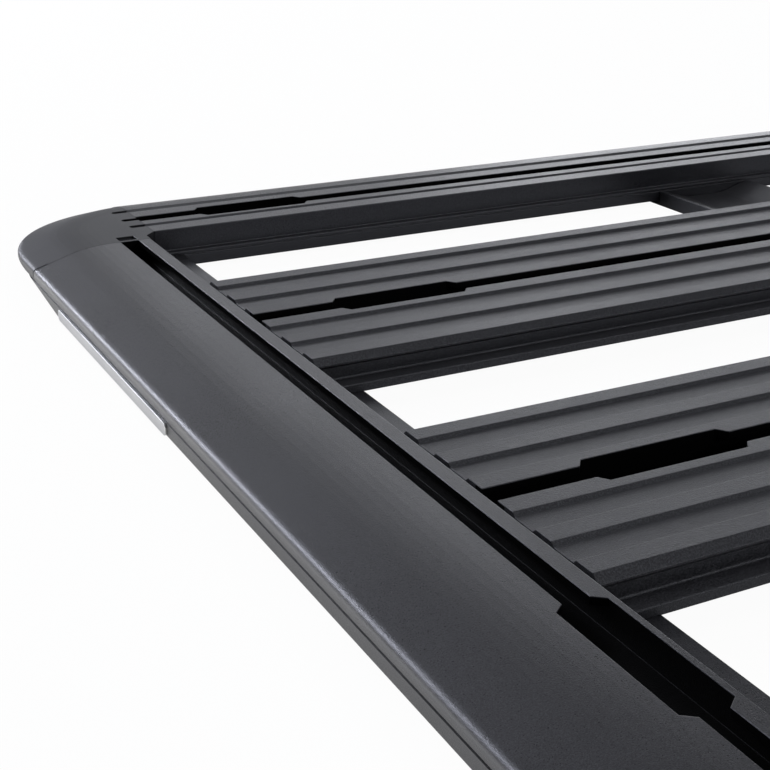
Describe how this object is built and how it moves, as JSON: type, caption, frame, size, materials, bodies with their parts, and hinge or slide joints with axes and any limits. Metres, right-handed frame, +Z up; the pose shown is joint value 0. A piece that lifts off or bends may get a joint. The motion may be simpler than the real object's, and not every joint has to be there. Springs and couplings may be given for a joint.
{
  "type": "flat platform roof rack",
  "caption": "Low flat roof platform: sloped edge extrusions with moulded corners, slotted planks running front to rear, and channel crossbars under them.",
  "frame": {"origin": "middle of the platform, on the plane the crossbars rest on", "axes": "+X towards the rear along the planks, +Y towards the right side rail, +Z up"},
  "size_m": [1.528, 1.236, 0.0263],
  "materials": {
    "rail_coat": "fine textured black powder coat",
    "plank_coat": "fine textured black powder coat",
    "crossbar_coat": "fine textured black powder coat",
    "corner_moulding": "satin black moulding",
    "steel_plate": "satin black coat"
  },
  "bodies": {
    "root": {"front_rail": "rail_coat", "rear_rail": "rail_coat", "left_rail": "rail_coat", "right_rail": "rail_coat", "plank_1": "plank_coat", "plank_2": "plank_coat", "plank_3": "plank_coat", "plank_4": "plank_coat", "corner_front_left": "corner_moulding", "corner_front_right": "corner_moulding", "corner_rear_left": "corner_moulding", "corner_rear_right": "corner_moulding", "corner_plate_front_left": "steel_plate", "corner_plate_front_right": "steel_plate", "corner_plate_rear_left": "steel_plate", "corner_plate_rear_right": "steel_plate", "crossbar_front": "crossbar_coat", "crossbar_rear": "crossbar_coat", "spacer_front_1": "steel_plate", "spacer_front_2": "steel_plate", "spacer_front_3": "steel_plate", "spacer_front_4": "steel_plate", "spacer_rear_1": "steel_plate", "spacer_rear_2": "steel_plate", "spacer_rear_3": "steel_plate", "spacer_rear_4": "steel_plate"}
  },
  "joints": []
}
